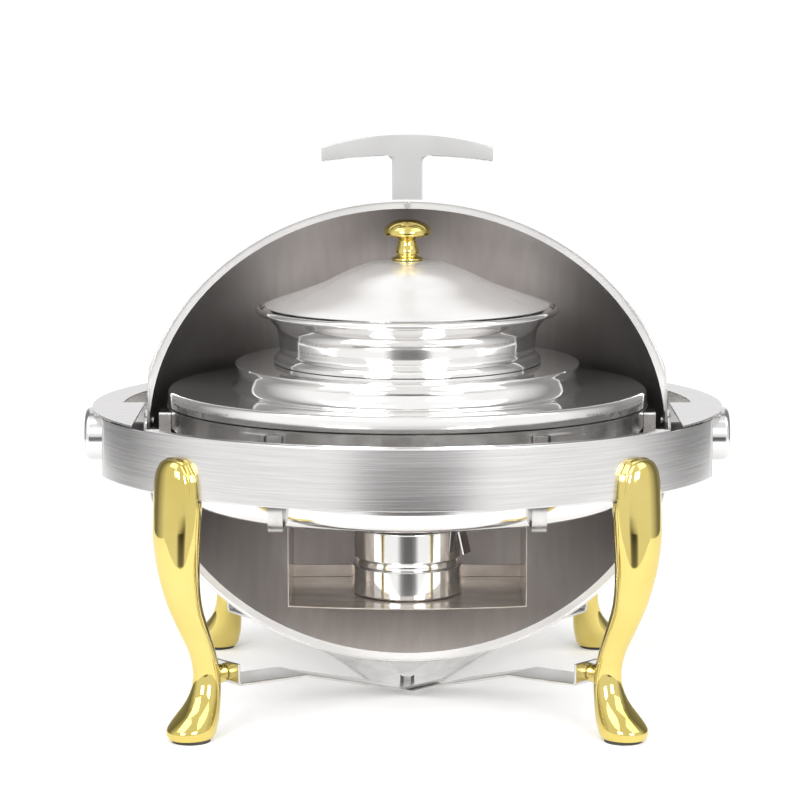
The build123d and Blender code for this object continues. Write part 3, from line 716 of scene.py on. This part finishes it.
# %% Lid knob
foot = [(13.0, 147.35), (13.7, 147.9), (13.7, 148.8)]
stem_points = [
    (13.6, 149.1), (10.2, 150.2), (9.0, 151.4), (10.0, 155.0), (8.3, 160.5), (8.2, 163.8), (12.0, 166.0)
]
head_points = [
    (12.0, 166.0), (18.4, 168.0), (20.0, 171.0), (18.6, 175.0), (14.2, 178.6), (8.0, 180.9), (2.5, 181.5)
]
stem = curve_through(stem_points, 4)
head = curve_through(head_points, 5)
knob = ring_stack("knob", turned(foot + stem[:-1] + head), 96, close_start=True, close_end=True)
leave(knob)
smooth(knob, 50, weighted=False)
coat(knob, gilt)
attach(knob, "inset_lid")
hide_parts("lid_knob")

# %% [markdown]
# ## Legs
# The cabriole legs are die cast and gilt. A leg is a stack of small ovals whose middle wanders: out
# at the knee, in at the ankle and out again over the foot. Its top is a rounded hood that lies on
# the outside of the band, so every point that would fall inside the band is pushed out onto it. A
# boss on the inner side takes the end of a brace. The leg is made once at the rear right, mirrored to
# the front right, and the other three are mirrored copies of that with a mesh of their own. Each
# section below is a level, a plan position and two half widths, along the leg's way out and across.

# %% First leg
turn = math.radians(49.8)
sections = [
    (7.5, 183.4, 171.4, 2.0, 3.0), (6.6, 183.2, 171.2, 7.0, 9.5),
    (3.5, 182.8, 170.8, 10.6, 14.0), (-2.0, 182.4, 170.4, 13.5, 17.6),
    (-8.0, 182.0, 170.0, 15.0, 20.0), (-18.0, 182.0, 170.0, 16.2, 21.2),
    (-28.0, 182.0, 170.0, 17.0, 21.5), (-45.0, 182.6, 170.6, 17.2, 21.5),
    (-60.0, 183.0, 171.0, 17.0, 21.0), (-85.0, 182.0, 170.0, 15.5, 18.0),
    (-112.0, 178.0, 166.0, 13.5, 14.5), (-135.0, 171.0, 160.0, 12.0, 12.5),
    (-155.0, 164.5, 154.0, 11.0, 10.7), (-175.0, 161.5, 152.0, 11.5, 11.0),
    (-192.0, 164.0, 156.0, 14.0, 13.5), (-206.0, 170.0, 163.0, 20.5, 17.5),
    (-213.0, 173.0, 166.5, 22.0, 19.0), (-217.5, 173.4, 167.2, 21.2, 18.4),
    (-220.4, 173.5, 167.5, 19.5, 17.0),
]
rings = curve_through(sections, 3)
deselect()
bpy.ops.mesh.primitive_circle_add(
    vertices=48, radius=1, fill_type="NOTHING", location=(0, 0, 0)
)
leg = bpy.context.object
leg.name = "gilt_leg_front_right"
bpy.ops.object.mode_set(mode="EDIT")
bpy.ops.mesh.select_all(action="SELECT")


def along_leg(x, y):
    """A plan position in the leg's own directions: outwards and across."""
    return x * math.cos(turn) + y * math.sin(turn), y * math.cos(turn) - x * math.sin(turn)


spot = (0.0, 0.0, 0.0)
size = (1.0, 1.0)
for number, (level, x, y, along, wide) in enumerate(rings):
    out, across = along_leg(x / 1000, y / 1000)
    new_spot = (out, across, pivot + level / 1000)
    move = tuple(b - a for a, b in zip(spot, new_spot))
    if number == 0:
        bpy.ops.transform.translate(value=move)
    else:
        bpy.ops.mesh.extrude_region_move(TRANSFORM_OT_translate={"value": move})
    factors = (along / 1000 / size[0], wide / 1000 / size[1], 1)
    bpy.ops.transform.resize(value=factors, center_override=new_spot)
    spot, size = new_spot, (along / 1000, wide / 1000)
bpy.ops.mesh.edge_face_add()
bpy.ops.mesh.select_all(action="DESELECT")
bpy.ops.mesh.select_non_manifold(extend=False)
bpy.ops.mesh.edge_face_add()
print("leg rings", len(rings))

# %% [markdown]
# The leg is modelled along its own outward direction and then turned into place as one whole. The
# hood's groove is pressed in afterwards: the points near one distance outwards move in along their
# own normals, least at the groove's sides and most in its middle, and it fades out below the band.
# The boss is a short cone that is joined to the leg, so that both are one casting.

# %% Leg in place, with its hood on the band
leave(leg)
hood_x, hood_y = 0.2652, 0.2342
hood_low = pivot - 0.0255
leg.rotation_euler = (0, 0, turn)
bpy.ops.object.transform_apply(location=True, rotation=True, scale=True)
for point in leg.data.vertices:
    share = math.hypot(point.co.x / hood_x, point.co.y / hood_y)
    if point.co.z > hood_low and share < 1:
        point.co.x /= share
        point.co.y /= share
leg.data.update()
normals = [vertex.normal.copy() for vertex in leg.data.vertices]
groove_out, groove_wide, groove_deep = 0.2517, 0.0022, 0.0015
fade_from, fade_over = pivot - 0.045, 0.03
for point, normal in zip(leg.data.vertices, normals):
    out = point.co.x * math.cos(turn) + point.co.y * math.sin(turn)
    fade = min(max((point.co.z - fade_from) / fade_over, 0), 1)
    depth = groove_deep * fade * math.exp(-(((out - groove_out) / groove_wide) ** 2))
    point.co -= normal * depth
print("leg points", len(leg.data.vertices))

# %% Boss for the brace
boss_x, boss_y = 0.1615, 0.152
boss_way = math.atan2(boss_y, boss_x)
boss_out = math.hypot(boss_x, boss_y)
boss_in = 0.2045
boss_middle = (boss_out + boss_in) / 2
boss_height = pivot - 0.174
deselect()
bpy.ops.mesh.primitive_cone_add(
    vertices=40, radius1=0.0075, radius2=0.0092, depth=boss_out - boss_in,
    location=(boss_middle * math.cos(boss_way), boss_middle * math.sin(boss_way), boss_height),
    rotation=(0, math.radians(90), boss_way),
)
boss = bpy.context.object
bpy.ops.object.transform_apply(location=True, rotation=True, scale=True)
bevel(boss, 0.0015, 3, 50)
deselect()
boss.select_set(True)
leg.select_set(True)
bpy.context.view_layer.objects.active = leg
bpy.ops.object.join()
leg.scale = (1, -1, 1)
bpy.ops.object.transform_apply(location=True, rotation=True, scale=True)
enter(leg)
leave(leg)
smooth(leg, 50, weighted=False)
coat(leg, gilt)

# %% Four legs
legs = {"front_right": leg}
flips = (("front_left", (-1, 1, 1)), ("rear_right", (1, -1, 1)), ("rear_left", (-1, -1, 1)))
for name, flip in flips:
    legs[name] = mirrored(leg, "gilt_leg_" + name, flip)
for name, piece in legs.items():
    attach(piece, "frame")
    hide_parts("leg_" + name)
print("legs", len(legs))

# %% [markdown]
# ## Crossed braces
# Two long flat straps tie opposite legs together. They run from a boss at each leg down to the
# middle, low enough for the cover to hang above them. A strap is a short edge extruded from bend to
# bend, thickened and softly rounded.


# %% Strips of flat bar
def strip(name, path, width, thickness):
    """A flat bar along a path of (distance, height) points, lying along X."""
    deselect()
    bpy.ops.mesh.primitive_plane_add(size=2, location=(0, 0, 0))
    piece = bpy.context.object
    piece.name = name
    bpy.ops.object.mode_set(mode="EDIT")
    bpy.ops.mesh.select_mode(type="VERT")
    pick(piece, lambda p: p.x > 0)
    bpy.ops.mesh.delete(type="VERT")
    bpy.ops.mesh.select_all(action="SELECT")
    bpy.ops.transform.resize(value=(1, width / 2, 1))
    bpy.ops.transform.translate(value=(1 + path[0][0], 0, path[0][1]))
    for here, there in zip(path, path[1:]):
        step = (there[0] - here[0], 0, there[1] - here[1])
        bpy.ops.mesh.extrude_region_move(TRANSFORM_OT_translate={"value": step})
    leave(piece)
    solidify(piece, thickness, 0)
    print(name, len(path), "bends")
    return piece


# %% Brace straps
half_path = [
    (0.024, 0.006), (0.0587, 0.018), (0.131, 0.038), (0.19, 0.0414), (0.2016, 0.0424),
    (0.2033, 0.0445), (0.2033, 0.0596),
]
for name, side, lift in (("brace_lower", 1, 0.0), ("brace_upper", -1, 0.0025)):
    path = [(-s, h) for s, h in reversed(half_path)] + half_path
    lifted = [(s, h + (lift if abs(s) < 0.03 else 0)) for s, h in path]
    brace = strip(name + "_strap", lifted, 0.038, 0.0024)
    bevel(brace, 0.0006, 2, 30)
    brace.rotation_euler = (0, 0, -side * boss_way)
    bpy.ops.object.transform_apply(location=True, rotation=True, scale=True)
    smooth(brace, 40)
    coat(brace, carrier_steel)
    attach(brace, "frame")
    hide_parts(name)

# %% [markdown]
# ## Fuel tray
# One bent sheet: a floor with a bowed front edge, two side plates that hang from the straps under
# the pan, and a low lip at the back. A plane is divided, its front points moved onto the bow, and
# its side and back edges extruded up. The bow needs only the front row, so it is one sum for each
# point there.

# %% Fuel tray
low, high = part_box("fuel_tray")
half_x, half_y, bow = 0.0991, 0.060, 0.0115
half_thick = 0.0006
floor_z = low.z + half_thick
deselect()
bpy.ops.mesh.primitive_plane_add(size=2, location=(0, 0, floor_z))
tray = bpy.context.object
tray.name = "tray"
bpy.ops.object.transform_apply(location=True, rotation=True, scale=True)
enter(tray)
bpy.ops.mesh.select_all(action="SELECT")
bpy.ops.transform.resize(value=(half_x, half_y, 1), center_override=(0, 0, floor_z))
bpy.ops.mesh.subdivide(number_cuts=15)
data = bmesh.from_edit_mesh(tray.data)
for point in data.verts:
    if point.co.y < -half_y + 0.0001:
        point.co.y -= bow * (1 - (point.co.x / half_x) ** 2)
bmesh.update_edit_mesh(tray.data)
bpy.ops.mesh.select_mode(type="EDGE")
for side in (1, -1):
    pick(tray, lambda p: side * p.x > half_x - 0.0001)
    rise = (0, 0, high.z - floor_z - half_thick)
    bpy.ops.mesh.extrude_region_move(TRANSFORM_OT_translate={"value": rise})
    bpy.ops.mesh.extrude_region_move(TRANSFORM_OT_translate={"value": (side * 0.0125, 0, 0)})
pick(tray, lambda p: p.y > half_y - 0.0001 and p.z < floor_z + 0.0001)
bpy.ops.mesh.extrude_region_move(TRANSFORM_OT_translate={"value": (0, 0, 0.0114)})
leave(tray)
solidify(tray, 0.0011, 0)
bevel(tray, 0.0003, 1, 60)
smooth(tray)
coat(tray, tray_steel)
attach(tray, "frame")
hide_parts("fuel_tray")

# %% [markdown]
# ## Fuel holder and its cover
# A drawn cup holds the can. A loose cover with a hole in its top sits on a step in the cup's wall,
# and a shallow groove runs round the cup just under the step. Both are plain stacks of round rings.

# %% Fuel holder
cup = [
    (20, -135.6), (44, -135.6), (46.2, -135.2), (47, -134), (47, -111.8), (46.6, -111.2),
    (44.4, -110.2), (44.0, -109.2), (44.0, -105.6), (44.6, -104.4), (45.5, -103.6), (45.5, -84.1),
]
holder = ring_stack("holder", turned(cup), 96, close_start=True)
leave(holder)
solidify(holder, 0.0010)
smooth(holder)
coat(holder, mirror_steel)
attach(holder, "fuel_holder")
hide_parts("fuel_holder")

# %% Holder cover
cover_ring = [
    (47, -103.0), (47, -80.4), (46.6, -79.0), (45.6, -78.2), (44.2, -78.0), (38, -78.0),
    (30.6, -78.0), (30.0, -78.4),
]
holder_cover = ring_stack("holder_cover_ring", turned(cover_ring), 96)
leave(holder_cover)
solidify(holder_cover, 0.0010)
smooth(holder_cover)
coat(holder_cover, mirror_steel)
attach(holder_cover, "holder_cover")
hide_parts("holder_cover")

# %% [markdown]
# ## Pieces kept from the frame
# Flat plates, screws, pins and bushes are already right in the frame. They only need a finish. A
# list of names for each finish says which piece gets what.

# %% Finishes for the frame's own pieces
kept = {
    plate_steel: ["frame_top_plate"],
    carrier_steel: [
        "carrier_hoop", "pan_bracket_left", "pan_bracket_right", "cradle_strap_left",
        "cradle_strap_right", "pivot_lug_left", "pivot_lug_right",
    ],
    cover_outside: ["dome_ear_left", "dome_ear_right"],
    bright_steel: ["pivot_pin_left", "pivot_pin_right", "damper"],
    screw_steel: [
        "dome_ear_rivets", "handle_screw", "knob_screw", "tray_screws", "damper_rivet", "leg_screws",
        "brace_middle_screw", "brace_screws",
    ],
    can_tin: ["fuel_can"],
    rubber: ["foot_pads"],
    bush_plastic: ["pivot_bush_left", "pivot_bush_right"],
}
for material, names in kept.items():
    for name in names:
        coat(frame["nodes"][name], material)
print("kept nodes", sum(len(names) for names in kept.values()))

# %% [markdown]
# ## Stage, light and camera
# The object stands on a plain pale floor in a white studio. Polished steel needs something dark to
# reflect or it looks flat, so the surroundings are white with a narrow dark zone in front, where the
# guest stands, and darker zones behind to the left and right. Four soft lamps add the highlights.
# The camera looks from the guest's side, slightly from above, with a long lens.

# %% Floor
deselect()
bpy.ops.mesh.primitive_plane_add(size=2.2, location=(0, 0.65, 0))
floor = bpy.context.object
floor.name = "floor"
floor_paint = plain("floor_paint", (0.90, 0.90, 0.90), (0.93, 0.93, 0.93), 0.9, scale=2)
floor_shader = floor_paint.node_tree.nodes["Principled BSDF"]
floor_shader.inputs["Emission Color"].default_value = (1, 1, 1, 1)
floor_shader.inputs["Emission Strength"].default_value = 0.22
coat(floor, floor_paint)
print("floor", round(floor.dimensions.x, 2), "m wide")


# %% Surroundings
def fill_ramp(ramp, stops):
    """Give a colour ramp grey stops of (position, tone), from left to right."""
    elements = ramp.color_ramp.elements
    for element, (position, tone) in ((elements[0], stops[0]), (elements[1], stops[-1])):
        element.position = position
        element.color = (tone, tone, tone, 1)
    for position, tone in stops[1:-1]:
        elements.new(position).color = (tone, tone, tone, 1)


world = bpy.data.worlds.new("studio")
bpy.context.scene.world = world
world.use_nodes = True
nodes = world.node_tree.nodes
links = world.node_tree.links
way_in = nodes.new("ShaderNodeTexCoord")
split = nodes.new("ShaderNodeSeparateXYZ")
links.new(way_in.outputs["Generated"], split.inputs["Vector"])
forward = nodes.new("ShaderNodeMath")
forward.operation = "MULTIPLY"
forward.inputs[1].default_value = -1.0
links.new(split.outputs["Y"], forward.inputs[0])
angle = nodes.new("ShaderNodeMath")
angle.operation = "ARCTAN2"
links.new(split.outputs["X"], angle.inputs[0])
links.new(forward.outputs["Value"], angle.inputs[1])
share = nodes.new("ShaderNodeMapRange")
share.inputs["From Min"].default_value = -math.pi
share.inputs["From Max"].default_value = math.pi
links.new(angle.outputs["Value"], share.inputs["Value"])
around = nodes.new("ShaderNodeValToRGB")
links.new(share.outputs["Result"], around.inputs["Fac"])
stops = [
    (-180, 1.0), (-165, 1.0), (-150, 0.35), (-112, 0.22), (-92, 0.6), (-72, 1.0),
    (72, 1.0), (92, 0.6), (112, 0.22), (150, 0.35), (165, 1.0), (180, 1.0),
]
fill_ramp(around, [((degrees + 180) / 360, tone) for degrees, tone in stops])
print("surroundings", len(stops), "stops")

# %% The dark zone in front, low down
gap = nodes.new("ShaderNodeValToRGB")
links.new(share.outputs["Result"], gap.inputs["Fac"])
zone = [(-180, 0), (-21, 0), (-12, 0.85), (-4, 1), (8, 1), (16, 0.85), (24, 0), (180, 0)]
fill_ramp(gap, [((degrees + 180) / 360, tone) for degrees, tone in zone])
depth = nodes.new("ShaderNodeValToRGB")
lift = nodes.new("ShaderNodeMapRange")
lift.inputs["From Min"].default_value = -1
lift.inputs["From Max"].default_value = 1
links.new(split.outputs["Z"], lift.inputs["Value"])
links.new(lift.outputs["Result"], depth.inputs["Fac"])
heights = [(-0.90, 0), (-0.60, 0.8), (-0.135, 1), (-0.105, 0), (1, 0)]
fill_ramp(depth, [((height + 1) / 2, tone) for height, tone in heights])
both = nodes.new("ShaderNodeMath")
both.operation = "MULTIPLY"
links.new(gap.outputs["Color"], both.inputs[0])
links.new(depth.outputs["Color"], both.inputs[1])
shade = nodes.new("ShaderNodeMix")
shade.data_type = "RGBA"
shade.inputs["B"].default_value = (0.05, 0.045, 0.045, 1)
links.new(both.outputs["Value"], shade.inputs["Factor"])
links.new(around.outputs["Color"], shade.inputs["A"])
ray = nodes.new("ShaderNodeLightPath")
seen = nodes.new("ShaderNodeMix")
seen.data_type = "RGBA"
seen.inputs["B"].default_value = (1, 1, 1, 1)
links.new(ray.outputs["Is Camera Ray"], seen.inputs["Factor"])
links.new(shade.outputs["Result"], seen.inputs["A"])
background = nodes["Background"]
background.inputs["Strength"].default_value = 1.05
links.new(seen.outputs["Result"], background.inputs["Color"])
print("dark zone", len(zone), "stops across", len(heights), "up")

# %% Lights
lamps = (
    ("key", (-1.3, -1.2, 2.4), 1.6, 20),
    ("fill", (1.5, -1.0, 2.2), 1.6, 14),
    ("front_left", (-1.1, -2.3, 1.1), 0.9, 26),
    ("front_right", (1.1, -2.3, 1.0), 0.9, 26),
)
for name, place, size, power in lamps:
    deselect()
    bpy.ops.object.light_add(type="AREA", location=place)
    lamp = bpy.context.object
    lamp.name = name
    lamp.data.size = size
    lamp.data.energy = power
    flat = math.hypot(place[0], place[1])
    facing = math.atan2(place[1], place[0]) + math.radians(90)
    lamp.rotation_euler = (math.atan2(flat, place[2] - 0.2), 0, facing)
    print(name, power, "W")

# %% Camera
tilt = math.radians(9)
distance = 2.54
deselect()
bpy.ops.object.camera_add(
    location=(0, -distance * math.cos(tilt), pivot + distance * math.sin(tilt)),
    rotation=(math.radians(90) - tilt, 0, 0),
)
camera = bpy.context.object
camera.data.lens = 135
camera.data.sensor_width = 36
camera.data.shift_x = -0.0091
camera.data.shift_y = 0.0416
bpy.context.scene.camera = camera
bpy.context.scene.view_settings.view_transform = "Standard"
print("camera", distance, "m away")
